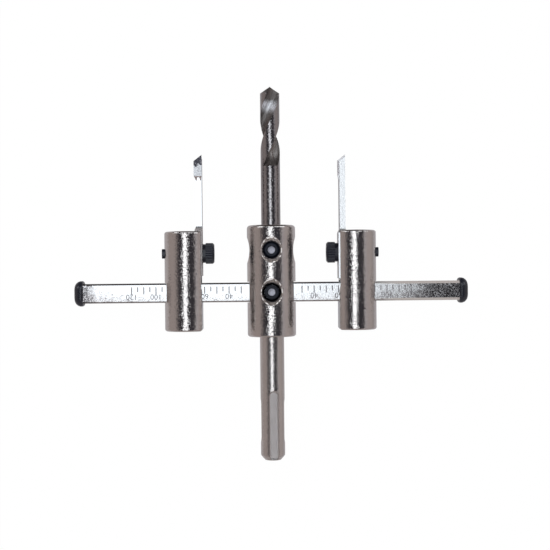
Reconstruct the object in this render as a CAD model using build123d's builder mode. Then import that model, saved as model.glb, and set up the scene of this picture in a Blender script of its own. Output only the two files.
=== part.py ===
from build123d import *
from math import cos, radians, sin, sqrt, tan
import os

# An adjustable circle cutter: a round tool body holds a pilot drill, a drive shank and a
# square cross beam, and two round holders slide along the beam, each with a carbide cutter.
# It lies on its back. The tool axis runs along Y with the drill tip at +Y, the beam runs
# along X, and the ruler face and the front set screws look up. All sizes are in millimetres.
os.makedirs("parts", exist_ok=True)

# Tool body, measured from the beam axis along the tool axis
body_diameter = 20.0
body_above = 27.6
body_below = 18.4
body_top_round = 1.4
body_end_round = 1.1

# Drive shank: a spigot in the body, a plain neck, then two open drive slots and two closed
# ball grooves
shank_diameter = 10.0
shank_length = 51.0
shank_plain = 23.0
spigot_diameter = 8.0
spigot_length = 12.0
shank_tip_length = 1.9
shank_tip_inset = 1.7
shank_tip_round = 1.5
drive_turn = 7.0
drive_slot_floor = 3.0
drive_slot_depth = 1.6
drive_slot_flare = 28.0
ball_radius = 3.5
ball_depth = 1.26
ball_groove_length = 18.8
ball_groove_from_tip = 6.7

# Pilot drill
drill_diameter = 8.0
drill_length = 79.0
drill_seat_web = 1.7
point_angle = 110.0
flute_length = 33.0
flute_pitch = 51.0
flute_runout = 8.0
flute_turn_at_tip = -37.0
web_thickness = 1.6
flute_radius = 3.3

# Cross beam and its end caps
beam_side = 8.0
beam_length = 159.0
beam_chamfer = 0.65
cap_side = 10.5
cap_corner = 4.0
cap_thickness = 3.7
cap_crown = 1.65
cap_crown_round = 2.75
cap_brim_round = 0.9

# Cutter holders, measured from the beam axis, and where each is set along the beam. Each is a
# round bar with a flat towards the tool axis, and u is the distance from its middle that way.
holder_diameter = 18.0
holder_centre = 1.25
holder_flat = 7.8
holder_face = 7.4
face_stop = 3.3
face_runout = 2.5
holder_above = 25.25
holder_below = 15.85
holder_round = 1.0
left_setting = 36.4
right_setting = 35.7

# Cutter blades, set in the holders at distances u
blade_depth = 8.0
blade_base_depth = 9.6
blade_base_thickness = 3.0
blade_stem_thickness = 2.35
blade_seat = 5.0
blade_base_bottom = 5.4
blade_shoulder = 24.2
blade_shoulder_rise = 1.6
left_lift = 1.5
clamp_slot_width = 5.4
clamp_slot_bottom = 13.4
clamp_slot_top = 17.4

# Carbide tips
left_apex_height = 56.7
right_apex_height = 57.1
tip_width = 3.3
tip_length = 8.8
tip_thickness = 1.9
tip_edge_angle = 38.0
tip_relief = 5.0
left_overhang = 0.1
right_overhang = 0.6
blade_set_back = 0.45
neck_height = 1.9

# Clamp screws, M5 with a knurled head
clamp_height = 16.2
clamp_diameter = 5.0
clamp_length = 16.8
clamp_head_diameter = 8.6
clamp_head_height = 4.8
clamp_collar_diameter = 7.75
clamp_collar_height = 1.3
clamp_socket = 4.0
clamp_socket_depth = 2.5
clamp_point_diameter = 4.0
clamp_point_length = 1.2
clamp_rim = 0.6
knurl_count = 30
knurl_size = 0.55

# Set screws, M6 with a 3 mm hexagon socket
set_diameter = 6.0
drill_screw_length = 4.0
beam_screw_length = 4.5
holder_screw_length = 10.0
set_socket = 3.0
set_socket_depth = 2.0
set_chamfer = 0.5
set_cup_radius = 1.5
set_cup_depth = 0.7
drill_screw_height = 17.3
drill_screw_sink = 5.4
beam_screw_sink = 5.6
holder_screw_sink = 3.6

# Fits: running gap each side of a sliding bar, and radial gap of a turning or sliding pin
slide_gap = 0.1
seat_gap = 0.05
beam_slot_play = 0.3

# The frame's origin is the bottom centre of the whole part
axis_z = body_diameter / 2
drill_seat = beam_side / 2 + beam_slot_play + drill_seat_web
tip_reach = drill_seat + drill_length
tail_reach = body_below + shank_length
beam_y = (tail_reach - tip_reach) / 2
tool_axis = Axis((0, beam_y, axis_z), (0, 1, 0))


def station(height):
    """Plane across the tool axis, height above the beam axis, facing the drill tip."""
    return Plane(origin=(0, beam_y + height, axis_z), x_dir=(1, 0, 0), z_dir=(0, 1, 0))


def facing(angle, x=0.0, height=0.0):
    """Plane on the axis at x, looking away from it: 0 is up, 90 is +X. Its y runs along Y."""
    turn = radians(angle)
    return Plane(
        origin=(x, beam_y + height, axis_z),
        x_dir=(cos(turn), 0, -sin(turn)),
        z_dir=(sin(turn), 0, cos(turn)),
    )


# Tool body: a turned bar with a broached cross hole, a drill bore and a socket for the shank
with BuildPart() as tool_body:
    with BuildSketch(station(-body_below)):
        Circle(body_diameter / 2)
    extrude(amount=body_below + body_above)
    ends = tool_body.edges().filter_by(GeomType.CIRCLE).sort_by(Axis.Y)
    fillet(ends[-1], body_top_round)
    ends = tool_body.edges().filter_by(GeomType.CIRCLE).sort_by(Axis.Y)
    fillet(ends[0], body_end_round)
    with BuildSketch(facing(90)):
        Rectangle(beam_side + 2 * slide_gap, beam_side + 2 * beam_slot_play)
    extrude(amount=body_diameter, both=True, mode=Mode.SUBTRACT)
    with BuildSketch(station(drill_seat)):
        Circle(drill_diameter / 2 + seat_gap)
    extrude(amount=body_above, mode=Mode.SUBTRACT)
    with BuildSketch(station(spigot_length - body_below)):
        Circle(spigot_diameter / 2 + seat_gap)
    extrude(amount=-2 * spigot_length, mode=Mode.SUBTRACT)
    for angle in (0, 90, -90):
        with Locations(facing(angle, height=drill_screw_height).offset(body_diameter / 2)):
            CounterSinkHole(
                set_diameter / 2 + seat_gap,
                drill_screw_sink,
                depth=(body_diameter - drill_diameter / 2) / 2,
                counter_sink_angle=90,
            )
    with Locations(facing(0).offset(body_diameter / 2)):
        CounterSinkHole(
            set_diameter / 2 + seat_gap,
            beam_screw_sink,
            depth=(body_diameter - beam_side / 2) / 2,
            counter_sink_angle=90,
        )
tool_body.part.label = "tool_body"
export_step(tool_body.part, "parts/tool_body.step")


# Drive shank: turned profile, then milled drive slots and ball grooves
slot_floor = shank_diameter / 2 - drive_slot_depth
slot_arch = -body_below - shank_plain - drive_slot_floor / 2
with BuildPart() as shank:
    with BuildSketch(facing(0)):
        with BuildLine():
            Polyline(
                (0, spigot_length - body_below),
                (spigot_diameter / 2, spigot_length - body_below),
                (spigot_diameter / 2, -body_below),
                (shank_diameter / 2, -body_below),
                (shank_diameter / 2, shank_tip_length - tail_reach),
                (shank_diameter / 2 - shank_tip_inset, -tail_reach),
                (0, -tail_reach),
                close=True,
            )
        make_face()
    revolve(axis=tool_axis)
    fillet(shank.edges().filter_by(GeomType.CIRCLE).sort_by(Axis.Y)[1], shank_tip_round)
    for angle in (drive_turn, drive_turn + 180):
        with BuildSketch(facing(angle, height=slot_arch).offset(slot_floor)):
            Circle(drive_slot_floor / 2)
            Rectangle(drive_slot_floor, shank_length, align=(Align.CENTER, Align.MAX))
        extrude(amount=2 * drive_slot_depth, taper=-drive_slot_flare, mode=Mode.SUBTRACT)
    ball_offset = shank_diameter / 2 - ball_depth + ball_radius
    ball_mouth = sqrt(ball_radius**2 - (ball_radius - ball_depth) ** 2)
    ball_travel = ball_groove_length - 2 * ball_mouth
    groove_height = ball_groove_from_tip + ball_groove_length / 2 - tail_reach
    for angle in (drive_turn + 90, drive_turn - 90):
        with Locations(facing(angle, height=groove_height).offset(ball_offset)):
            Cylinder(ball_radius, ball_travel, rotation=(90, 0, 0), mode=Mode.SUBTRACT)
            with Locations((0, ball_travel / 2, 0), (0, -ball_travel / 2, 0)):
                Sphere(ball_radius, mode=Mode.SUBTRACT)
shank.part.label = "shank"
export_step(shank.part, "parts/shank.step")


# Pilot drill: the flutes are cut by a twisted tool that lifts out along a curved run-out
flute_end = tip_reach - flute_length
flute_start = flute_end - 2.0
flute_offset = flute_radius + web_thickness / 2
cutter_length = tip_reach + 1.0 - flute_start
cutter_turn = 360 * cutter_length / flute_pitch
section_turn = flute_turn_at_tip - 360 * (tip_reach - flute_start) / flute_pitch

with BuildSketch(station(flute_start)) as flute_section:
    with PolarLocations(flute_offset, 2, start_angle=section_turn):
        Circle(flute_radius)

with BuildPart() as run_out:
    with BuildSketch(facing(0)):
        with BuildLine():
            lift = TangentArc(
                (web_thickness / 2, flute_end + flute_runout),
                (drill_diameter / 2, flute_end),
                tangent=(0, -1),
            )
            Polyline(
                lift @ 1,
                (drill_diameter, flute_start - 1),
                (0, flute_start - 1),
                (0, flute_end + flute_runout),
                lift @ 0,
            )
        make_face()
    revolve(axis=tool_axis)

flute_tools = [
    Solid.extrude_linear_with_rotation(
        section, station(flute_start).origin, (0, cutter_length, 0), cutter_turn
    ) - run_out.part
    for section in flute_section.sketch.faces()
]

with BuildPart() as pilot_drill:
    with BuildSketch(facing(0)):
        with BuildLine():
            Polyline(
                (0, drill_seat),
                (drill_diameter / 2 - set_chamfer, drill_seat),
                (drill_diameter / 2, drill_seat + set_chamfer),
                (drill_diameter / 2, tip_reach - drill_diameter / 2 / tan(radians(point_angle / 2))),
                (0, tip_reach),
                close=True,
            )
        make_face()
    revolve(axis=tool_axis)
    for flute_tool in flute_tools:
        add(flute_tool, mode=Mode.SUBTRACT)
pilot_drill.part.label = "pilot_drill"
export_step(pilot_drill.part, "parts/pilot_drill.step")


# Cross beam: a square bar with broken edges
with BuildPart() as beam:
    with BuildSketch(facing(90)) as beam_section:
        Rectangle(beam_side, beam_side)
        chamfer(beam_section.vertices(), beam_chamfer)
    extrude(amount=beam_length / 2, both=True)
beam.part.label = "beam"
export_step(beam.part, "parts/beam.step")


# End caps: moulded rubber, pushed over the beam's ends
for hand, side in (("left", -1), ("right", 1)):
    brim = facing(90 * side, x=side * (beam_length / 2 + cap_crown - cap_thickness))
    with BuildPart() as end_cap:
        with BuildSketch(brim):
            RectangleRounded(cap_side, cap_side, cap_corner)
        extrude(amount=cap_thickness)
        ends = end_cap.faces().filter_by(Axis.X).sort_by(Axis((0, 0, 0), brim.z_dir))
        fillet(ends[-1].edges(), cap_crown_round)
        ends = end_cap.faces().filter_by(Axis.X).sort_by(Axis((0, 0, 0), brim.z_dir))
        fillet(ends[0].edges(), cap_brim_round)
        with BuildSketch(brim) as socket:
            Rectangle(beam_side, beam_side)
            chamfer(socket.vertices(), beam_chamfer)
        extrude(amount=cap_thickness - cap_crown, mode=Mode.SUBTRACT)
    end_cap.part.label = f"{hand}_end_cap"
    export_step(end_cap.part, f"parts/{hand}_end_cap.step")


# Cutter holders: round bar with a flat, a square hole for the beam and a milled groove for
# the blade. The two are the same piece, turned half a turn about its own length.
for hand, side, setting in (("left", -1, left_setting), ("right", 1, right_setting)):
    holder_x = side * setting
    inward = facing(90 + 90 * side, x=holder_x)
    with BuildPart() as holder:
        with BuildSketch(station(-holder_below)):
            with Locations((side * (setting - holder_centre), 0)):
                Circle(holder_diameter / 2)
            with Locations((side * (setting - holder_flat + holder_diameter / 2), 0)):
                Rectangle(holder_diameter, 2 * holder_diameter, mode=Mode.INTERSECT)
        extrude(amount=holder_below + holder_above)
        fillet(holder.faces().filter_by(Axis.Y).edges(), holder_round)
        with BuildSketch(inward):
            with BuildLine():
                face = Line((holder_face, holder_above + holder_round), (holder_face, face_stop))
                rise = TangentArc(
                    face @ 1, (holder_flat, face_stop - face_runout), tangent=face % 1
                )
                Polyline(
                    rise @ 1,
                    (holder_diameter, face_stop - face_runout),
                    (holder_diameter, holder_above + holder_round),
                    face @ 0,
                )
            make_face()
        extrude(amount=holder_diameter, both=True, mode=Mode.SUBTRACT)
        with BuildSketch(facing(90, x=holder_x)):
            Rectangle(beam_side + 2 * slide_gap, beam_side + 2 * slide_gap)
        extrude(amount=holder_diameter, both=True, mode=Mode.SUBTRACT)
        with BuildSketch(inward):
            with Locations((blade_seat - seat_gap, 0)):
                Rectangle(
                    holder_diameter, holder_above + holder_round, align=(Align.MIN, Align.MIN)
                )
        extrude(amount=blade_base_depth / 2 + slide_gap, both=True, mode=Mode.SUBTRACT)
        with BuildSketch(facing(90, x=holder_x, height=clamp_height)):
            Circle(clamp_diameter / 2 + seat_gap)
        extrude(amount=holder_diameter, both=True, mode=Mode.SUBTRACT)
        foot = Plane(
            origin=(holder_x, beam_y - holder_below, axis_z), x_dir=(1, 0, 0), z_dir=(0, -1, 0)
        )
        with Locations(foot):
            CounterSinkHole(
                set_diameter / 2 + seat_gap,
                holder_screw_sink,
                depth=holder_below - beam_side / 4,
                counter_sink_angle=90,
            )
    holder.part.label = f"{hand}_holder"
    export_step(holder.part, f"parts/{hand}_holder.step")


# Cutter blades and their carbide tips, a handed pair: the left one cuts the inner wall of
# the kerf and keeps the inner part of its bar, the right one cuts the outer wall and keeps
# the outer part. Each is drawn with x towards the tool axis, y up and z out of its rake face.
blade_face = blade_seat + blade_base_thickness
edge_slope = tan(radians(tip_edge_angle))


def above_edge(apex, height, lean, drop):
    """Corners of the area above a cutting edge that falls away from its apex."""
    reach = 2 * tip_width
    return [
        (apex + lean * reach, height - drop + reach * edge_slope),
        (apex - lean * reach, height - drop - reach * edge_slope),
        (apex - lean * reach, height + reach * edge_slope),
    ]


for hand, side, setting, lift, apex_height in (
    ("left", -1, left_setting, left_lift, left_apex_height),
    ("right", 1, right_setting, 0.0, right_apex_height),
):
    profile = facing(90 + 90 * side, x=side * setting)
    inward = facing(-90 * side, x=side * setting)
    shoulder = blade_shoulder + lift
    tip_bottom = apex_height - tip_length
    rake = profile.offset(blade_depth / 2)
    relief = (0, -sin(radians(tip_relief)), -cos(radians(tip_relief)) * profile.z_dir.Z)
    if hand == "left":
        stem_inner = blade_face
        tip_inner = blade_face + left_overhang
        apex = tip_inner
    else:
        stem_inner = blade_seat + blade_stem_thickness
        tip_inner = blade_seat - right_overhang + tip_width
        apex = tip_inner - tip_width
    stem_outer = stem_inner - blade_stem_thickness
    tip_outer = tip_inner - tip_width
    with BuildPart() as cutter_blade:
        with BuildSketch(profile):
            with BuildLine():
                Polyline(
                    (blade_seat, blade_base_bottom + lift),
                    (blade_face, blade_base_bottom + lift),
                    (blade_face, shoulder),
                    (stem_inner, shoulder + blade_shoulder_rise),
                    (stem_inner, apex_height + neck_height),
                    (stem_outer, apex_height + neck_height),
                    (stem_outer, shoulder + blade_shoulder_rise),
                    (blade_seat, shoulder),
                    close=True,
                )
            make_face()
        extrude(amount=blade_base_depth / 2, both=True)
        with BuildSketch(inward):
            with BuildLine():
                Polyline(
                    (blade_base_depth / 2, shoulder),
                    (blade_depth / 2, shoulder + blade_shoulder_rise),
                    (blade_depth / 2, apex_height + 2 * neck_height),
                    (blade_base_depth, apex_height + 2 * neck_height),
                    (blade_base_depth, shoulder),
                    close=True,
                )
            make_face()
            mirror(about=Plane.YZ)
        extrude(amount=holder_diameter, both=True, mode=Mode.SUBTRACT)
        with BuildSketch(rake):
            with Locations(((tip_inner + tip_outer) / 2, tip_bottom)):
                Rectangle(2 * tip_width, 2 * tip_length, align=(Align.CENTER, Align.MIN))
        extrude(amount=-tip_thickness, mode=Mode.SUBTRACT)
        with BuildSketch(rake):
            with BuildLine():
                Polyline(
                    (stem_outer, tip_bottom - neck_height),
                    (tip_outer, tip_bottom),
                    (tip_inner, tip_bottom),
                    (stem_inner, tip_bottom - neck_height),
                    close=True,
                )
            make_face()
        extrude(amount=-tip_thickness)
        with BuildSketch(rake):
            with BuildLine():
                Polyline(*above_edge(apex, apex_height, -side, blade_set_back), close=True)
            make_face()
        extrude(amount=2 * blade_depth, dir=relief, mode=Mode.SUBTRACT)
        with BuildSketch(inward.offset(blade_seat)):
            with Locations((0, (clamp_slot_bottom + clamp_slot_top) / 2)):
                SlotCenterToCenter(
                    clamp_slot_top - clamp_slot_bottom, clamp_slot_width, rotation=90
                )
        extrude(amount=blade_base_thickness, mode=Mode.SUBTRACT)
    cutter_blade.part.label = f"{hand}_cutter_blade"
    export_step(cutter_blade.part, f"parts/{hand}_cutter_blade.step")

    with BuildPart() as carbide_tip:
        side_relief = 2 * tip_thickness * tan(radians(tip_relief))
        for depth, width in ((0, tip_width), (tip_thickness, tip_width - side_relief)):
            with BuildSketch(rake.offset(-depth)):
                with Locations(((tip_inner + tip_outer) / 2, tip_bottom)):
                    Rectangle(width, tip_length + neck_height, align=(Align.CENTER, Align.MIN))
        loft()
        with BuildSketch(rake):
            with BuildLine():
                Polyline(*above_edge(apex, apex_height, -side, 0), close=True)
            make_face()
        extrude(amount=2 * tip_thickness, dir=relief, mode=Mode.SUBTRACT)
    carbide_tip.part.label = f"{hand}_carbide_tip"
    export_step(carbide_tip.part, f"parts/{hand}_carbide_tip.step")

    underhead = blade_face + seat_gap
    head_end = underhead + clamp_head_height
    clamp_end = underhead - clamp_length
    head_radius = clamp_head_diameter / 2
    with BuildPart() as clamp_screw:
        screw_plane = facing(90 + 90 * side, x=side * setting, height=clamp_height)
        with BuildSketch(screw_plane):
            with BuildLine():
                Polyline(
                    (clamp_end, 0),
                    (clamp_end, clamp_point_diameter / 2),
                    (clamp_end + clamp_point_length, clamp_point_diameter / 2),
                    (clamp_end + clamp_point_length, clamp_diameter / 2),
                    (underhead, clamp_diameter / 2),
                    (underhead, clamp_collar_diameter / 2),
                    (underhead + clamp_collar_height, clamp_collar_diameter / 2),
                    (underhead + clamp_collar_height, head_radius),
                    (head_end - clamp_rim, head_radius),
                    (head_end, head_radius - clamp_rim),
                    (head_end, 0),
                    close=True,
                )
            make_face()
        revolve(axis=Axis(screw_plane.origin, screw_plane.x_dir))
        top = facing(-90 * side, x=side * setting, height=clamp_height).offset(head_end)
        with BuildSketch(top):
            RegularPolygon(clamp_socket / 2, 6, major_radius=False)
        extrude(amount=-clamp_socket_depth, mode=Mode.SUBTRACT)
        with BuildSketch(top.offset(-clamp_rim)):
            with PolarLocations(head_radius, knurl_count):
                RegularPolygon(knurl_size / 2, 4)
        extrude(amount=clamp_collar_height + clamp_rim - clamp_head_height, mode=Mode.SUBTRACT)
    clamp_screw.part.label = f"{hand}_clamp_screw"
    export_step(clamp_screw.part, f"parts/{hand}_clamp_screw.step")


# Set screws: each starts where its point bears and runs outward to its socket
drill_touch = drill_diameter / 2 + seat_gap
beam_touch = beam_side / 2 + seat_gap
left_foot = Plane(origin=(-left_setting, beam_y, axis_z), x_dir=(1, 0, 0), z_dir=(0, -1, 0))
right_foot = Plane(origin=(right_setting, beam_y, axis_z), x_dir=(1, 0, 0), z_dir=(0, -1, 0))
for name, seat, length in (
    ("drill_screw_front", facing(0, height=drill_screw_height).offset(drill_touch),
     drill_screw_length),
    ("drill_screw_left", facing(-90, height=drill_screw_height).offset(drill_touch),
     drill_screw_length),
    ("drill_screw_right", facing(90, height=drill_screw_height).offset(drill_touch),
     drill_screw_length),
    ("beam_screw", facing(0).offset(beam_touch), beam_screw_length),
    ("left_holder_screw", left_foot.offset(beam_touch), holder_screw_length),
    ("right_holder_screw", right_foot.offset(beam_touch), holder_screw_length),
):
    with BuildPart() as set_screw:
        with BuildSketch(seat):
            Circle(set_diameter / 2)
        extrude(amount=length)
        chamfer(set_screw.edges().filter_by(GeomType.CIRCLE), set_chamfer)
        with BuildSketch(seat.offset(length)):
            RegularPolygon(set_socket / 2, 6, major_radius=False)
        extrude(amount=-set_socket_depth, mode=Mode.SUBTRACT)
        with Locations(seat):
            Cone(
                set_cup_radius, 0, set_cup_depth,
                align=(Align.CENTER, Align.CENTER, Align.MIN), mode=Mode.SUBTRACT,
            )
    set_screw.part.label = name
    export_step(set_screw.part, f"parts/{name}.step")
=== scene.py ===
from math import cos, pi, radians, sin, tau

import bmesh
import bpy
from mathutils import Matrix, Vector


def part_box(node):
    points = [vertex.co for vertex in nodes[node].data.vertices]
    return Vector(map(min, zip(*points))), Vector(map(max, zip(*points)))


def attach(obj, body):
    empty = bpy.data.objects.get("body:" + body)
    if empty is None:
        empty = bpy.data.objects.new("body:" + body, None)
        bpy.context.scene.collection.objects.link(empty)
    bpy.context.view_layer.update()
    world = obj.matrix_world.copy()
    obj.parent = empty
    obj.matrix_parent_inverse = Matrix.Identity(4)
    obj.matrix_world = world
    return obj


# The looks of an adjustable circle cutter that lies on its back. The tool axis runs along Y
# with the drill tip at +Y, the beam runs along X and the ruler looks up. Lengths are metres.
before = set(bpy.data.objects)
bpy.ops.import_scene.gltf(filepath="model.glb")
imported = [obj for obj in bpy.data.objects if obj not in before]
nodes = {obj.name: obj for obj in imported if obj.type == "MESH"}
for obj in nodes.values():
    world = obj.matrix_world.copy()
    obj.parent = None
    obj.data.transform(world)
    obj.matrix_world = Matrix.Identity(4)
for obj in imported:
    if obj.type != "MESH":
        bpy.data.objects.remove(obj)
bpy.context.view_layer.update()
mm = 0.001


def middle(node):
    """Centre of a CAD node's box."""
    low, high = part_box(node)
    return (low + high) / 2


beam_y = middle("beam").y
axis_z = middle("beam").z
ruler_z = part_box("beam")[1].z
body_low, body_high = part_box("tool_body")
shank_low, shank_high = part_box("shank")
drill_low, drill_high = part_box("pilot_drill")
body_radius = (body_high.x - body_low.x) / 2
shank_radius = (shank_high.x - shank_low.x) / 2
drill_radius = (drill_high.x - drill_low.x) / 2
holder_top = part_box("left_holder")[1].y


# Shader nodes

def new_material(name):
    """Empty node material, its tree and its output."""
    material = bpy.data.materials.new(name)
    material.use_nodes = True
    tree = material.node_tree
    tree.nodes.clear()
    return material, tree, tree.nodes.new("ShaderNodeOutputMaterial")


def add_node(tree, kind, inputs=None, **settings):
    """Adds a node, sets its properties, and sets or links its inputs by name or number."""
    node = tree.nodes.new(kind)
    for key, value in settings.items():
        setattr(node, key, value)
    for key, value in (inputs or {}).items():
        if isinstance(value, bpy.types.NodeSocket):
            tree.links.new(value, node.inputs[key])
        else:
            node.inputs[key].default_value = value
    return node


def shade(tree, output, **inputs):
    """Principled shader on the material's output, with its inputs in words."""
    named = {}
    for key, value in inputs.items():
        named[key.replace("_", " ").title().replace("Ior", "IOR")] = value
    shader = add_node(tree, "ShaderNodeBsdfPrincipled", named)
    tree.links.new(shader.outputs["BSDF"], output.inputs["Surface"])


def colour(red, green, blue):
    """Opaque colour, as a socket takes it."""
    return (red, green, blue, 1.0)


def scaled(tint, factor):
    """Opaque colour of a tint made darker or lighter by a factor."""
    return colour(*(factor * level for level in tint))


def ramp(tree, value, stops):
    """Colour ramp over value, with stops as (position, grey level or colour)."""
    node = add_node(tree, "ShaderNodeValToRGB", {"Fac": value})
    elements = node.color_ramp.elements
    while len(elements) < len(stops):
        elements.new(1.0)
    for element, (position, level) in zip(elements, stops):
        element.position = position
        element.color = colour(*level) if isinstance(level, tuple) else colour(level, level, level)
    return node.outputs["Color"]


def mix_colour(tree, factor, first, second):
    """Mix of two colours by a factor."""
    inputs = {0: factor, 6: first, 7: second}
    return add_node(tree, "ShaderNodeMix", inputs, data_type="RGBA").outputs[2]


def compute(tree, operation, first, second=0.0):
    """Result of one operation on two values."""
    return add_node(tree, "ShaderNodeMath", {0: first, 1: second}, operation=operation).outputs[0]


def product(tree, first, *others):
    """Product of two or more values."""
    result = first
    for other in others:
        result = compute(tree, "MULTIPLY", result, other)
    return result


def diagonal(tree, first, second):
    """Root of the sum of two squares."""
    squares = compute(
        tree, "ADD", product(tree, first, first), product(tree, second, second)
    )
    return compute(tree, "SQRT", squares)


def remap(tree, value, start, end, low=0.0, high=1.0):
    """Value turned from the range start to end into low to high, and held there beyond it."""
    limits = {"Value": value, "From Min": start, "From Max": end, "To Min": low, "To Max": high}
    return add_node(tree, "ShaderNodeMapRange", limits).outputs["Result"]


def between(tree, value, rise, fall):
    """1 between a rise and a fall, each given as the values where it starts and ends."""
    return product(tree, remap(tree, value, *rise), remap(tree, value, *fall))


def vector_math(tree, operation, first, second=(0.0, 0.0, 0.0)):
    """Result of one operation on two vectors."""
    inputs = {0: first, 1: second}
    return add_node(tree, "ShaderNodeVectorMath", inputs, operation=operation).outputs["Vector"]


def part_place(tree):
    """The part's own coordinates as X, Y and Z."""
    place = add_node(tree, "ShaderNodeTexCoord").outputs["Object"]
    return add_node(tree, "ShaderNodeSeparateXYZ", {"Vector": place}).outputs


def part_normal(tree):
    """The surface's direction in the part's own coordinates as X, Y and Z."""
    normal = add_node(tree, "ShaderNodeTexCoord").outputs["Normal"]
    return add_node(tree, "ShaderNodeSeparateXYZ", {"Vector": normal}).outputs


def part_noise(tree, scale, detail=2.0, roughness=0.5, stretch=(1.0, 1.0, 1.0), turn=0.0):
    """Noise over the part's own coordinates, scale in features per metre."""
    place = add_node(tree, "ShaderNodeTexCoord").outputs["Object"]
    stretched = add_node(
        tree, "ShaderNodeMapping",
        {"Vector": place, "Scale": stretch, "Rotation": (0.0, 0.0, radians(turn))},
    )
    return add_node(
        tree, "ShaderNodeTexNoise",
        {"Vector": stretched.outputs["Vector"], "Scale": scale, "Detail": detail,
         "Roughness": roughness},
    ).outputs["Fac"]


def bump(tree, relief, height, normal=None):
    """Surface direction over a relief from 0 to 1, which is height metres high."""
    inputs = {"Height": relief, "Distance": height}
    if normal is not None:
        inputs["Normal"] = normal
    return add_node(tree, "ShaderNodeBump", inputs).outputs["Normal"]


# Places where a finish, a painted shade or a painted highlight changes

def facing_sideways(tree):
    """1 on faces that look along X, 0 elsewhere."""
    across = compute(tree, "ABSOLUTE", part_normal(tree)["X"])
    return remap(tree, across, 0.985, 0.995)


def recess(tree, turned, depth):
    """1 deeper than depth below a turned surface, given as its radius and two stations on Y."""
    radius, low_y, high_y = turned
    border = radius - depth
    fade = 0.1 * mm
    place = part_place(tree)
    from_axis = diagonal(tree, place["X"], compute(tree, "SUBTRACT", place["Z"], axis_z))
    inside = remap(tree, from_axis, border + fade / 2, border - fade / 2)
    stretch = between(tree, place["Y"], (low_y, low_y + fade), (high_y, high_y - fade))
    return product(tree, inside, stretch)


def around_hole(tree, inside, hole_y):
    """1 close round a screw hole in the front, at x 0 and the station hole_y on Y, where a painted
    shadow goes.
    """
    reach = 3.6 * mm
    reach_fade = 0.2 * mm
    front_z = axis_z + 4 * mm
    front_fade = 0.5 * mm
    place = part_place(tree)
    from_hole = diagonal(tree, place["X"], compute(tree, "SUBTRACT", place["Y"], hole_y))
    close = remap(tree, from_hole, reach + reach_fade, reach)
    in_front = remap(tree, place["Z"], front_z, front_z + front_fade)
    return product(tree, inside, close, in_front)


def bare_rim(tree, turned):
    """1 on the broken edge at the top of the recesses in a turned surface, where a painted
    highlight goes, 0 elsewhere.
    """
    top_depth = 0.12 * mm
    foot_depth = 0.55 * mm
    band = compute(
        tree, "SUBTRACT", recess(tree, turned, top_depth), recess(tree, turned, foot_depth)
    )
    broken = remap(tree, part_noise(tree, 800.0), 0.5, 0.58)
    return product(tree, band, broken)


def scratches(tree):
    """1 on a few fine lines that run two ways, 0 elsewhere."""
    line_start = 0.7
    line_full = 0.73
    steep = part_noise(tree, 300.0, stretch=(7.0, 1.0, 7.0), turn=22.0)
    level = part_noise(tree, 240.0, stretch=(1.0, 8.0, 8.0), turn=-35.0)
    return compute(
        tree, "MAXIMUM",
        remap(tree, steep, line_start, line_full), remap(tree, level, line_start, line_full),
    )


def worn_edges(tree, shaded_from):
    """1 on the beam's bevels and the borders of its faces beyond a station on X, where painted
    shade darkens them.
    """
    fade = 12 * mm
    border_start = 2.9 * mm
    border_end = 3.0 * mm
    direction = part_normal(tree)
    flat = compute(
        tree, "MAXIMUM",
        compute(tree, "ABSOLUTE", direction["Y"]), compute(tree, "ABSOLUTE", direction["Z"]),
    )
    bevel = remap(tree, flat, 0.9, 0.85)
    place = part_place(tree)
    from_middle = compute(tree, "ABSOLUTE", compute(tree, "SUBTRACT", place["Y"], beam_y))
    border = remap(tree, from_middle, border_start, border_end)
    edge = compute(tree, "MAXIMUM", bevel, border)
    return product(tree, edge, remap(tree, place["X"], shaded_from, shaded_from + fade))


# Materials

warm_plate = (0.74, 0.69, 0.66)
# Painted shade: the darker tint of the body's and holders' faces that look along X.
painted_flat_shade = (0.27, 0.255, 0.25)
# Painted shade inside the countersinks.
countersink_shade = (0.46, 0.42, 0.4)
hole_shade = (0.035, 0.038, 0.052)
# Painted highlight on the rims of the countersinks.
rim_glint_tint = (0.92, 0.9, 0.89)
slot_steel = (0.72, 0.67, 0.65)
drill_steel = (0.45, 0.425, 0.425)
# Painted shade and painted highlight along the drill's flutes.
flute_shade = (0.22, 0.2, 0.19)
flute_highlight = (0.97, 0.97, 1.0)
bright_plate = (0.72, 0.72, 0.72)
ground_side = (0.3, 0.28, 0.29)
dull_steel = (0.62, 0.57, 0.55)
# Painted shade on the beam's bevels and face borders towards its right end.
edge_shade_tint = (0.37, 0.335, 0.32)


def spangled_normal(tree):
    """Surface direction tilted at random in each crystal of the plate, seldom by much.

    Each crystal has a random lean of up to a half each way. Its cube is small for most
    crystals, and it is scaled so that the cube of a half gives the largest tilt.
    """
    crystals_per_metre = 4200.0
    largest_tilt = 0.15
    half = 0.5
    place = add_node(tree, "ShaderNodeTexCoord").outputs["Object"]
    crystal = add_node(tree, "ShaderNodeTexVoronoi", {"Vector": place, "Scale": crystals_per_metre})
    lean = vector_math(tree, "SUBTRACT", crystal.outputs["Color"], (half, half, half))
    squared = vector_math(tree, "MULTIPLY", lean, lean)
    cubed = vector_math(tree, "MULTIPLY", squared, lean)
    steepness = largest_tilt / half**3
    slope = vector_math(tree, "MULTIPLY", cubed, (steepness, steepness, steepness))
    straight = add_node(tree, "ShaderNodeNewGeometry").outputs["Normal"]
    return vector_math(tree, "NORMALIZE", vector_math(tree, "ADD", straight, slope))


def tint_by_drop(tree, turned, tints):
    """One tint, or a ramp over tints at drops in mm below a turned surface's high station."""
    if len(tints) == 1:
        return colour(*tints[0][1])
    low_y, high_y = turned[1:]
    station = remap(tree, part_place(tree)["Y"], low_y, high_y)
    stops = [(1 - drop * mm / (high_y - low_y), tint) for drop, tint in tints]
    return ramp(tree, station, sorted(stops))


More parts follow.
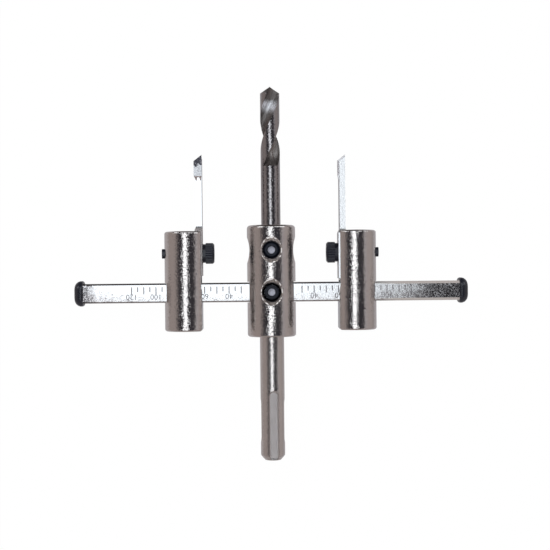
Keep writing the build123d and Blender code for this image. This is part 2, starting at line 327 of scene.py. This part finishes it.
def plated_metal(name, tint, flat_tint, roughness, inner=None):
    """Polished crystalline plate with faint ripples and blotches and a few scratches.

    Its milled flats, which look along X, have a tint of their own, painted shade on the body
    and the holders. Inner describes the metal below the turned surface, where it is milled or
    countersunk; its tints are painted shade in the countersinks, and painted shade with a
    painted highlight along the drill's flutes. Where inner has screw holes in the front, as
    their stations on Y, a painted shadow darkens the metal around the screws and the recesses
    have a painted highlight on their rim.
    """
    ripple_height = 0.02 * mm
    scratch_height = 0.008 * mm
    rim_metallic = 0.2
    material, tree, output = new_material(name)
    blotch = ramp(tree, part_noise(tree, 90.0, 3.0, 0.6), ((0.35, 0.0), (0.7, 1.0)))
    base = mix_colour(tree, blotch, colour(*tint), scaled(tint, 0.95))
    base = mix_colour(tree, facing_sideways(tree), base, colour(*flat_tint))
    ripple = remap(tree, part_noise(tree, 1500.0, 2.0, 0.6), 0.45, 0.8)
    normal = bump(tree, ripple, ripple_height, spangled_normal(tree))
    normal = bump(tree, scratches(tree), scratch_height, normal)
    metallic = 1.0
    if inner:
        turned = inner["turned"]
        inside = recess(tree, turned, inner["depth"])
        base = mix_colour(tree, inside, base, tint_by_drop(tree, turned, inner["tints"]))
        roughness = remap(tree, inside, 0.0, 1.0, roughness, inner["roughness"])
        holes = inner.get("holes", ())
        for hole_y in holes:
            base = mix_colour(tree, around_hole(tree, inside, hole_y), base, colour(*hole_shade))
        if holes:
            rim = bare_rim(tree, turned)
            base = mix_colour(tree, rim, base, colour(*rim_glint_tint))
            metallic = remap(tree, rim, 0.0, 1.0, 1.0, rim_metallic)
    shade(tree, output, base_color=base, metallic=metallic, roughness=roughness, normal=normal)
    return material


def fleck_density(tree, density, low_density):
    """Density of the flecks by stations in mm on X, and the same with low_density added.

    What is added fades in across the middle of the beam, away from the drill tip.
    """
    reach = 80
    fade_start = beam_y + 1 * mm
    fade_end = beam_y - 3 * mm
    place = part_place(tree)
    station = remap(tree, place["X"], -reach * mm, reach * mm)
    along = ramp(tree, station, [((x + reach) / (2 * reach), level) for x, level in density])
    lower = remap(tree, place["Y"], fade_start, fade_end, 0.0, low_density)
    return along, compute(tree, "ADD", along, lower)


def flecks(tree, density):
    """1 on the flecks, which cover more of the plate where the density is higher."""
    sparse_limit = 0.72
    dense_limit = 0.36
    fine_share = 0.75
    limit = remap(tree, density, 0.0, 1.0, sparse_limit, dense_limit)
    fine = product(tree, part_noise(tree, 2500.0, 3.0, 0.65), fine_share)
    coarse = product(tree, part_noise(tree, 600.0), 1 - fine_share)
    over = compute(tree, "SUBTRACT", compute(tree, "ADD", fine, coarse), limit)
    return remap(tree, over, -0.01, 0.07)


def fleck_tone(tree, density):
    """Tone of the flecks, lighter where they are sparse and dark where they are dense."""
    noise = part_noise(tree, 1900.0, 2.0, 0.6)
    light = ramp(tree, noise, ((0.35, (0.2, 0.185, 0.185)), (0.6, (0.6, 0.57, 0.56))))
    dark = ramp(
        tree, noise,
        ((0.36, (0.022, 0.02, 0.023)), (0.5, (0.11, 0.102, 0.104)), (0.62, (0.46, 0.44, 0.44))),
    )
    return mix_colour(tree, remap(tree, density, 0.45, 0.9), light, dark)


def speckled_plate(name, density, low_density, dull_below=None, shaded_from=None):
    """Bright crystalline plate with dark flecks.

    Density holds the flecks' density at stations in mm on X, and low_density adds to it on
    the half away from the drill tip. The bar is dull below the station dull_below on Y, and
    beyond the station shaded_from on X painted shade makes its edges dark and matt.
    """
    grain_height = 0.02 * mm
    polish = 0.2
    dull_roughness = 0.6
    dull_fade = 0.2 * mm
    material, tree, output = new_material(name)
    along, total = fleck_density(tree, density, low_density)
    base = mix_colour(tree, flecks(tree, total), colour(*bright_plate), fleck_tone(tree, along))
    base = mix_colour(tree, facing_sideways(tree), base, colour(*ground_side))
    roughness = polish
    metallic = 1.0
    if dull_below is not None:
        dull = remap(tree, part_place(tree)["Y"], dull_below, dull_below - dull_fade)
        base = mix_colour(tree, dull, base, colour(*dull_steel))
        roughness = remap(tree, dull, 0.0, 1.0, polish, dull_roughness)
    if shaded_from is not None:
        painted_edge_shade = worn_edges(tree, shaded_from)
        base = mix_colour(tree, painted_edge_shade, base, colour(*edge_shade_tint))
        metallic = compute(tree, "SUBTRACT", 1.0, painted_edge_shade)
    normal = bump(tree, part_noise(tree, 1600.0, 3.0, 0.6), grain_height)
    shade(tree, output, base_color=base, metallic=metallic, roughness=roughness, normal=normal)
    return material


def black_finish(name, tint, roughness, specular):
    """Black oxide or rubber, with a fine grain."""
    grain_height = 0.01 * mm
    material, tree, output = new_material(name)
    tone = ramp(tree, part_noise(tree, 160.0, 3.0, 0.6), ((0.3, 0.0), (0.75, 1.0)))
    base = mix_colour(tree, tone, colour(*tint), scaled(tint, 1.6))
    normal = bump(tree, part_noise(tree, 2600.0, 2.0, 0.6), grain_height)
    shade(
        tree, output, base_color=base, roughness=roughness, specular_ior_level=specular,
        normal=normal,
    )
    return material


def ground_carbide(name, node):
    """Carbide tip: dark and ground at its cutting edge, sparkling towards the braze.

    The border between the two slopes across the tip and wanders.
    """
    grain_height = 0.02 * mm
    start_drop = 4.9 * mm
    full_drop = 4.5 * mm
    slope = -0.3
    wander_reach = 0.7 * mm
    material, tree, output = new_material(name)
    low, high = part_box(node)
    place = part_place(tree)
    lean = product(tree, compute(tree, "SUBTRACT", place["X"], low.x), slope)
    wander = remap(
        tree, part_noise(tree, 700.0, 2.0, 0.6), 0.3, 0.7, -wander_reach, wander_reach
    )
    height = compute(tree, "ADD", compute(tree, "ADD", place["Y"], lean), wander)
    ground = remap(tree, height, high.y - start_drop, high.y - full_drop)
    sparkle = ramp(
        tree, part_noise(tree, 1500.0, 3.0, 0.65),
        ((0.32, (0.22, 0.22, 0.235)), (0.46, (0.5, 0.5, 0.51)), (0.7, (0.62, 0.62, 0.62))),
    )
    dark = ramp(
        tree, part_noise(tree, 1000.0, 2.0, 0.6),
        ((0.3, (0.03, 0.03, 0.037)), (0.55, (0.06, 0.058, 0.068)), (0.66, (0.26, 0.25, 0.26))),
    )
    base = mix_colour(tree, ground, sparkle, dark)
    normal = bump(tree, part_noise(tree, 1700.0, 3.0, 0.7), grain_height)
    shade(tree, output, base_color=base, metallic=1.0, roughness=0.3, normal=normal)
    return material


def plain_finish(name, tint, metallic, roughness):
    """Small part's finish, with a fine change of tone."""
    material, tree, output = new_material(name)
    tone = ramp(tree, part_noise(tree, 1400.0, 2.0, 0.6), ((0.35, 0.0), (0.65, 1.0)))
    base = mix_colour(tree, tone, scaled(tint, 0.75), colour(*tint))
    shade(tree, output, base_color=base, metallic=metallic, roughness=roughness)
    return material


# The countersinks' tint is painted shade; round the screws the metal gets a painted shadow, and the
# rims a painted highlight.
countersinks = {
    "turned": (body_radius, body_low.y + 8 * mm, body_high.y - 3 * mm),
    "depth": 0.3 * mm,
    "tints": ((0, countersink_shade),),
    "roughness": 0.16,
    "holes": (middle("drill_screw_front").y, beam_y),
}
drive_slots = {
    "turned": (shank_radius, shank_low.y + 1 * mm, shank_low.y + 30 * mm),
    "depth": 0.4 * mm,
    "tints": ((0, slot_steel),),
    "roughness": 0.55,
}
# Along the drill's flutes the tints are painted shade, with a painted highlight from 7.2 to 8.6 mm
# below the tip's end.
flutes = {
    "turned": (drill_radius, drill_low.y, drill_high.y),
    "depth": 0.15 * mm,
    "tints": (
        (0, flute_shade), (5.2, (0.24, 0.22, 0.21)), (7.2, flute_highlight), (8.6, flute_highlight),
        (11, (0.3, 0.28, 0.27)), (15, flute_shade), (25, (0.26, 0.235, 0.22)),
        (27.5, (0.4, 0.37, 0.35)), (30, (0.2, 0.18, 0.17)),
    ),
    "roughness": 0.5,
}
# The flecks thicken towards the beam's ends and beyond 36 mm on the right: painted shade over the
# plate's own speckle.
beam_flecks_and_shade = (
    (-80, 0.95), (-75.5, 0.85), (-72, 0.48), (-58, 0.36), (-40, 0.32), (10, 0.3), (36, 0.36),
    (44, 0.47), (56, 0.56), (66, 0.92), (80, 1.0),
)
blade_flecks = ((-80, 0.05), (80, 0.05))

holder_metal = plated_metal("holder_plate", warm_plate, painted_flat_shade, 0.1)
knurled = black_finish("knurled_oxide", (0.007, 0.008, 0.014), 0.28, 0.45)
rubber = black_finish("cap_rubber", (0.006, 0.007, 0.012), 0.28, 0.7)
oxide = black_finish("black_oxide", (0.006, 0.007, 0.011), 0.24, 0.12)
engraving = plain_finish("engraving", (0.17, 0.165, 0.18), 0.0, 0.7)
braze = plain_finish("braze", (0.26, 0.205, 0.195), 0.3, 0.5)
# The socket floors' light bluish tint is a painted highlight, brighter than the shade in the socket
# allows.
socket_floor_glint = plain_finish("socket_floor", (0.7, 0.72, 0.85), 0.0, 0.5)

finishes = {
    "tool_body": plated_metal("body_plate", warm_plate, painted_flat_shade, 0.1, countersinks),
    "left_holder": holder_metal,
    "right_holder": holder_metal,
    "shank": plated_metal("shank_steel", warm_plate, warm_plate, 0.22, drive_slots),
    "pilot_drill": plated_metal("drill_steel", drill_steel, drill_steel, 0.16, flutes),
    "beam": speckled_plate("beam_plate", beam_flecks_and_shade, 0.35, shaded_from=40 * mm),
    "left_cutter_blade": speckled_plate(
        "left_blade_plate", blade_flecks, 0.0, dull_below=holder_top + 1.4 * mm
    ),
    "right_cutter_blade": speckled_plate("right_blade_plate", blade_flecks, 0.0),
    "left_carbide_tip": ground_carbide("left_carbide", "left_carbide_tip"),
    # The right tip's tint is lighter than carbide: painted light for a face that gets little light.
    "right_carbide_tip": plain_finish("right_carbide", (0.8, 0.77, 0.79), 1.0, 0.35),
    "left_clamp_screw": knurled,
    "right_clamp_screw": knurled,
    "left_end_cap": rubber,
    "right_end_cap": rubber,
}
for name, node in nodes.items():
    node.data.materials.clear()
    node.data.materials.append(finishes.get(name, oxide))


# Ruler, socket floors and braze

def piece(name, mesh, material, body):
    """Adds an object with one material, riding on a body."""
    made = bpy.data.objects.new(name, mesh)
    bpy.context.scene.collection.objects.link(made)
    mesh.materials.clear()
    mesh.materials.append(material)
    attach(made, body)


def mesh_from(name, shape):
    """Mesh made from a bmesh, with its faces turned outward."""
    bmesh.ops.recalc_face_normals(shape, faces=shape.faces)
    mesh = bpy.data.meshes.new(name)
    shape.to_mesh(mesh)
    shape.free()
    return mesh


def add_wall(shape, lower, upper):
    """Faces between two closed loops with as many points."""
    count = len(lower)
    for index in range(count):
        after = (index + 1) % count
        shape.faces.new((lower[index], lower[after], upper[after], upper[index]))


def add_prism(shape, outline, bottom, top):
    """Prism over an outline in the XY plane."""
    lower = [shape.verts.new((x, y, bottom)) for x, y in outline]
    upper = [shape.verts.new((x, y, top)) for x, y in outline]
    shape.faces.new(lower)
    shape.faces.new(upper)
    add_wall(shape, lower, upper)


mark_height = 0.02 * mm
mark_root = 0.01 * mm
ruler_offset = 2.5 * mm
first_reading = 30
last_reading = 120
mark_step = 5
long_mark_step = 10
mark_width = 0.42 * mm
mark_top = 2.5 * mm
long_mark_end = -0.45 * mm
short_mark_end = 0.5 * mm
first_number = 40
number_step = 20
number_height = 2.3 * mm
number_middle = -1.45 * mm
digit_share = 0.72


def reading_place(reading):
    """Distance from the tool axis of a ruler reading, which is the hole's diameter in mm."""
    return reading / 2 * mm - ruler_offset


def ruler_marks():
    """Ruler lines on both arms, long at each 10 mm of diameter and short between."""
    shape = bmesh.new()
    top = beam_y + mark_top
    for arm in (-1, 1):
        for reading in range(first_reading, last_reading + 1, mark_step):
            x = arm * reading_place(reading)
            left = x - mark_width / 2
            right = x + mark_width / 2
            end = beam_y + (short_mark_end if reading % long_mark_step else long_mark_end)
            outline = ((left, end), (right, end), (right, top), (left, top))
            add_prism(shape, outline, ruler_z - mark_root, ruler_z + mark_height)
    piece("ruler_marks", mesh_from("ruler_marks", shape), engraving, "beam")


def ruler_numbers():
    """Numbers at every 20 mm of diameter, read from the drill's side.

    A digit stands as high as digit_share of its text size.
    """
    for arm, side in ((-1, "left"), (1, "right")):
        for reading in range(first_number, last_reading + 1, number_step):
            name = f"ruler_{side}_{reading}"
            text = bpy.data.curves.new(name, "FONT")
            text.body = str(reading)
            text.size = number_height / digit_share
            text.align_x = "CENTER"
            text.align_y = "CENTER"
            text.extrude = (mark_height + mark_root) / 2
            text.resolution_u = 3
            written = bpy.data.objects.new(name, text)
            bpy.context.scene.collection.objects.link(written)
            mesh = bpy.data.meshes.new_from_object(written)
            bpy.data.objects.remove(written)
            place = Vector((
                arm * reading_place(reading), beam_y + number_middle,
                ruler_z + (mark_height - mark_root) / 2,
            ))
            mesh.transform(Matrix.Translation(place) @ Matrix.Rotation(pi, 4, "Z"))
            piece(name, mesh, engraving, "beam")


def socket_floor(screw):
    """Drilled floor of a screw's hexagon socket, a shallow cone with a bevelled rim, in a light
    tint that is a painted highlight.
    """
    socket_depth = 2 * mm
    radius = 1.49 * mm
    rings = (
        (radius, -0.02 * mm), (radius, 0.16 * mm), (0.93 * radius, 0.2 * mm),
        (0.35 * radius, 0.08 * mm),
    )
    tip_height = 0.02 * mm
    sides = 40
    centre = middle(screw)
    floor_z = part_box(screw)[1].z - socket_depth
    shape = bmesh.new()
    loops = []
    for ring_radius, height in rings:
        loops.append([
            shape.verts.new((
                centre.x + ring_radius * cos(tau * step / sides),
                centre.y + ring_radius * sin(tau * step / sides), floor_z + height,
            ))
            for step in range(sides)
        ])
    shape.faces.new(loops[0])
    for lower, upper in zip(loops, loops[1:]):
        add_wall(shape, lower, upper)
    tip = shape.verts.new((centre.x, centre.y, floor_z + tip_height))
    last = loops[-1]
    for step in range(sides):
        shape.faces.new((last[step], last[(step + 1) % sides], tip))
    name = f"{screw}_socket_floor"
    piece(name, mesh_from(name, shape), socket_floor_glint, screw)


def braze_seam(hand, side, outer_lean, inner_lean):
    """Line of braze under a carbide tip, and the two fillets where it ran down the neck.

    From the tip's foot to the neck, the blade's outer edge leans in by outer_lean and its
    inner edge leans out by inner_lean.
    """
    line = 0.5 * mm
    neck = 1.9 * mm
    proud = 0.03 * mm
    root = 0.1 * mm
    seam_rise = 0.02 * mm
    seam_inset = 0.05 * mm
    seam_foot_inset = 0.06 * mm
    fillet_inset = 0.12 * mm
    low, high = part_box(f"{hand}_carbide_tip")
    outer, inner = (low.x, high.x) if side < 0 else (high.x, low.x)
    inward = -side
    rake_z = high.z if side < 0 else low.z
    bottom, top = sorted((rake_z + side * root, rake_z - side * proud))

    def from_outer(inset, drop=0.0):
        return outer + inward * (inset + outer_lean * drop / neck)

    def from_inner(inset, drop=0.0):
        return inner - inward * (inset + inner_lean * drop / neck)

    seam = (
        (from_outer(seam_inset), seam_rise), (from_inner(seam_inset), seam_rise),
        (from_inner(seam_foot_inset, line), -line), (from_outer(seam_foot_inset, line), -line),
    )
    outer_fillet = (
        (from_outer(fillet_inset, line), -line), (from_outer(1.5 * mm), -line),
        (from_outer(0.35 * mm, neck), -neck), (from_outer(fillet_inset, neck), -neck + 0.1 * mm),
    )
    inner_fillet = (
        (from_inner(1.0 * mm), -line), (from_inner(fillet_inset, line), -line),
        (from_inner(0.2 * mm, neck), -neck + 0.15 * mm), (from_inner(0.45 * mm, neck), -neck),
    )
    shape = bmesh.new()
    for corners in (seam, outer_fillet, inner_fillet):
        add_prism(shape, [(x, low.y + y) for x, y in corners], bottom, top)
    name = f"{hand}_braze"
    piece(name, mesh_from(name, shape), braze, f"{hand}_cutter")


ruler_marks()
ruler_numbers()
socket_floor("drill_screw_front")
socket_floor("beam_screw")
braze_seam("left", -1, outer_lean=0.85 * mm, inner_lean=0.1 * mm)
braze_seam("right", 1, outer_lean=0.6 * mm, inner_lean=0.35 * mm)


# Floor, light and camera

def bands_round_y(tree, share, bands):
    """Ramp over a turn about Y, with bands as (degrees from straight up to +X, level)."""
    return ramp(tree, share, [((angle + 180) / 360, level) for angle, level in bands])


def split_by_ray(tree, output, ray, others, chosen):
    """Puts the shader chosen on the output for one kind of ray, and others for the rest."""
    path = add_node(tree, "ShaderNodeLightPath")
    inputs = {0: path.outputs[ray], 1: others.outputs[0], 2: chosen.outputs[0]}
    mix = add_node(tree, "ShaderNodeMixShader", inputs)
    tree.links.new(mix.outputs[0], output.inputs["Surface"])


def studio_world():
    """White to the camera, even light on rough surfaces, and banded panels in reflections.

    The panels run along Y, and each colour blends into the next. Rows of lamps hang towards
    the drill's end, and a plain wall closes each end.
    """
    black = (0.036, 0.034, 0.041)
    strip = (1.76, 1.86, 1.96)
    warm = (0.335, 0.297, 0.289)
    pale = (0.44, 0.43, 0.45)
    wall = (0.37, 0.335, 0.335)
    paper = (0.5, 0.49, 0.51)
    drill_wall = (0.06, 0.052, 0.052)
    shank_wall = (0.33, 0.3, 0.295)
    wall_start = 0.7
    wall_end = 0.8
    lamp_rise = (0.4, 0.46)
    lamp_fall = (0.74, 0.7)
    panel_bands = (
        (-180, paper), (-108, (0.44, 0.415, 0.42)), (-106.5, (0.24, 0.215, 0.21)), (-102, warm),
        (-60, warm), (-50, (0.2, 0.18, 0.18)), (-38, black), (-14, black), (-12.5, strip),
        (5, strip), (6.5, black), (48, black), (51.5, pale), (60, pale), (66, wall),
        (90, (0.41, 0.375, 0.37)), (114, (0.31, 0.285, 0.285)), (124, pale), (180, paper),
    )
    lamp_bands = (
        (-77, 0.0), (-73, 1.0), (-47, 1.0), (-43, 0.0), (18, 0.0), (22, 1.0), (36, 1.0), (40, 0.0),
        (50, 0.0), (54, 1.0), (74, 1.0), (78, 0.0),
    )
    world = bpy.data.worlds.new("studio")
    bpy.context.scene.world = world
    world.use_nodes = True
    tree = world.node_tree
    tree.nodes.clear()
    output = tree.nodes.new("ShaderNodeOutputWorld")
    direction = add_node(tree, "ShaderNodeTexCoord").outputs["Generated"]
    parts = add_node(tree, "ShaderNodeSeparateXYZ", {"Vector": direction}).outputs
    share = remap(tree, compute(tree, "ARCTAN2", parts["X"], parts["Z"]), -pi, pi)
    panels = bands_round_y(tree, share, panel_bands)
    lamps = product(
        tree, between(tree, parts["Y"], lamp_rise, lamp_fall),
        bands_round_y(tree, share, lamp_bands),
    )
    panels = mix_colour(tree, lamps, panels, colour(*strip))
    drill_end = remap(tree, parts["Y"], wall_start, wall_end)
    panels = mix_colour(tree, drill_end, panels, colour(*drill_wall))
    shank_end = remap(tree, parts["Y"], -wall_start, -wall_end)
    panels = mix_colour(tree, shank_end, panels, colour(*shank_wall))
    seen = add_node(tree, "ShaderNodeBackground", {"Color": panels, "Strength": 1.0})
    even = add_node(
        tree, "ShaderNodeBackground", {"Color": colour(1.0, 1.0, 1.0), "Strength": 1.0}
    )
    split_by_ray(tree, output, "Is Glossy Ray", even, seen)


def studio_floor():
    """Pale floor that the camera sees as white, apart from a faint shadow."""
    reach = 2.0
    white_share = 0.99
    material, tree, output = new_material("floor_white")
    matte = add_node(tree, "ShaderNodeBsdfDiffuse", {"Color": colour(0.85, 0.85, 0.85)})
    white = add_node(
        tree, "ShaderNodeEmission", {"Color": colour(1.0, 1.0, 1.0), "Strength": 1.0}
    )
    seen = add_node(
        tree, "ShaderNodeMixShader", {0: white_share, 1: matte.outputs[0], 2: white.outputs[0]}
    )
    split_by_ray(tree, output, "Is Camera Ray", matte, seen)
    shape = bmesh.new()
    corners = ((-reach, -reach), (reach, -reach), (reach, reach), (-reach, reach))
    shape.faces.new([shape.verts.new((x, y, 0.0)) for x, y in corners])
    mesh = bpy.data.meshes.new("floor")
    shape.to_mesh(mesh)
    shape.free()
    mesh.materials.append(material)
    floor = bpy.data.objects.new("floor", mesh)
    bpy.context.scene.collection.objects.link(floor)
    floor.visible_glossy = False


def soft_light():
    """Soft square lamp that gives the faint shadow and isn't seen in reflections."""
    place = Vector((-0.25, 0.3, 0.6))
    lamp = bpy.data.lights.new("key_light", "AREA")
    lamp.shape = "SQUARE"
    lamp.size = 0.5
    lamp.energy = 1.5
    stand = bpy.data.objects.new("key_light", lamp)
    stand.location = place
    stand.rotation_euler = (-place).to_track_quat("-Z", "Y").to_euler()
    stand.visible_glossy = False
    bpy.context.scene.collection.objects.link(stand)


def photo_camera():
    """Camera above the tool, a little left of its axis and turned half a degree in its view."""
    distance = 500 * mm
    frame_width = 228 * mm
    centre = Vector((1.5 * mm, -0.8 * mm, axis_z))
    yaw = radians(0.85)
    roll = radians(0.57)
    data = bpy.data.cameras.new("camera")
    data.sensor_width = 36.0
    data.lens = data.sensor_width / (frame_width / distance)
    camera = bpy.data.objects.new("camera", data)
    camera.location = centre + distance * Vector((-sin(yaw), 0.0, cos(yaw)))
    camera.rotation_euler = (
        Matrix.Rotation(-yaw, 3, "Y") @ Matrix.Rotation(-roll, 3, "Z")
    ).to_euler()
    bpy.context.scene.collection.objects.link(camera)
    bpy.context.scene.camera = camera


studio_world()
studio_floor()
soft_light()
photo_camera()
bpy.context.scene.view_settings.view_transform = "Standard"
